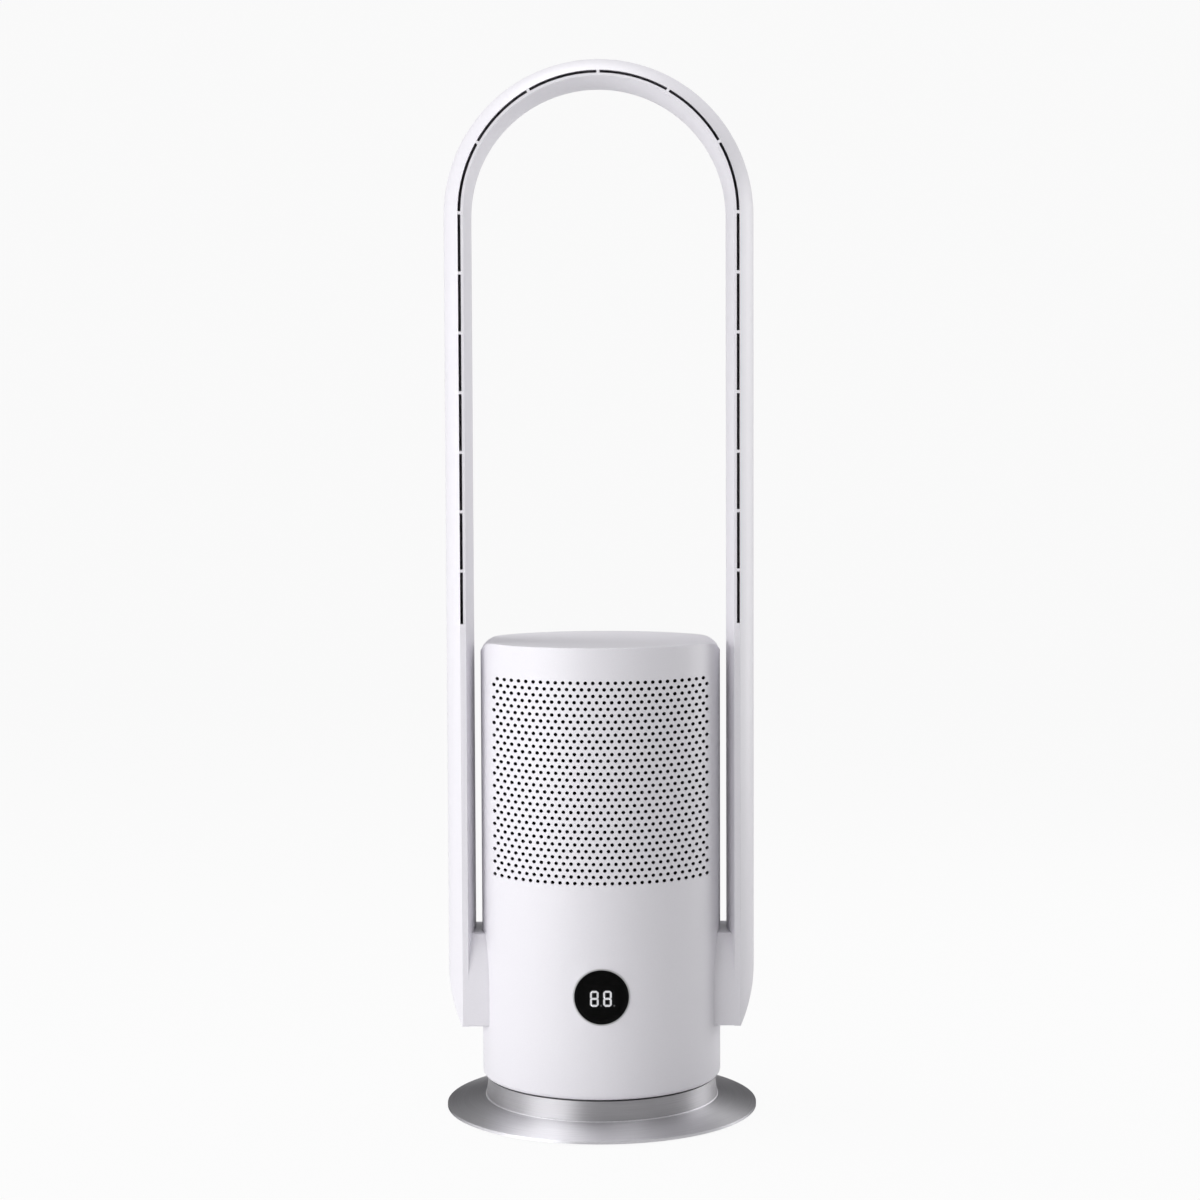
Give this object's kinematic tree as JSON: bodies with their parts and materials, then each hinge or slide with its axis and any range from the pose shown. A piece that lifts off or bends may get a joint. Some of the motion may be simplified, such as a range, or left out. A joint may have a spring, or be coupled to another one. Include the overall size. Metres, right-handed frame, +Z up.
{
  "type": "air purifier fan",
  "caption": "Bladeless air purifier fan: a perforated round tower with a lift-out filter on a swivelling brushed steel base, feeding a tall slotted hoop.",
  "frame": {"origin": "on the floor under the tower's axis, at the middle of the base", "axes": "+Z up along the tower's axis, -Y towards the front with the display, +X to the viewer's right"},
  "size_m": [0.286, 0.286, 0.96],
  "materials": {
    "white_plastic": "satin moulded",
    "brushed_base": "circular brushed",
    "black_lens": "gloss",
    "bezel_grey": "satin",
    "digit_white": "lit",
    "inner_black": "moulded",
    "inner_grey": "moulded",
    "board_green": "solder mask",
    "steel": "turned",
    "cast_iron": "painted",
    "rubber": "matte",
    "acetal": "waxy",
    "filter_paper": "pleated",
    "carbon": "woven",
    "foam": "foam"
  },
  "bodies": {
    "base": {"base_plate": "brushed_base", "base_collar": "brushed_base", "base_tray": "inner_black", "ballast_plate": "cast_iron", "rubber_feet": "rubber", "base_screws": "steel", "pivot_hub": "inner_grey", "sun_gear": "acetal", "wear_ring": "acetal", "pivot_retainer": "steel", "retainer_screws": "steel", "power_inlet": "inner_black"},
    "tower": {"turntable": "inner_black", "swivel_motor": "steel", "power_board": "board_green", "front_shell": "white_plastic", "rear_shell": "white_plastic", "display_bezel": "bezel_grey", "display_lens": "black_lens", "display_board": "inner_black", "display_digits": "digit_white", "blower_housing": "inner_grey", "filter_deck": "inner_grey", "motor_housing": "steel", "motor_bearings": "steel", "duct_gaskets": "foam", "left_elbow": "white_plastic", "right_elbow": "white_plastic", "hoop_outer_shell": "white_plastic", "hoop_inner_shell": "white_plastic"},
    "rotor": {"impeller": "inner_black", "motor_shaft": "steel", "impeller_nut": "steel"},
    "pinion": {"swivel_pinion": "acetal", "swivel_shaft": "steel"},
    "filter": {"top_lid": "white_plastic", "filter_top_cap": "inner_grey", "filter_bottom_cap": "inner_grey", "filter_media": "filter_paper", "carbon_tube": "carbon", "filter_seal": "foam"}
  },
  "joints": [
    {"name": "oscillate", "type": "hinge", "parent": "base", "child": "tower", "pos_m": [0, 0, 0.031], "axis": [0, 0, 1], "range_deg": [-45, 45]},
    {"name": "pinion_spin", "type": "hinge", "parent": "tower", "child": "pinion", "pos_m": [0, 0.04125, 0.0195], "axis": [0, 0, 1], "range_deg": [-121, 121]},
    {"name": "impeller_spin", "type": "hinge", "parent": "tower", "child": "rotor", "pos_m": [0, 0, 0.1], "axis": [0, 0, 1], "continuous": true},
    {"name": "filter_lift", "type": "slide", "parent": "tower", "child": "filter", "axis": [0, 0, 1], "range_m": [0, 0.25]}
  ],
  "couplings": [
    {"joint": "pinion_spin", "follows": "oscillate", "ratio": 2.6667}
  ]
}
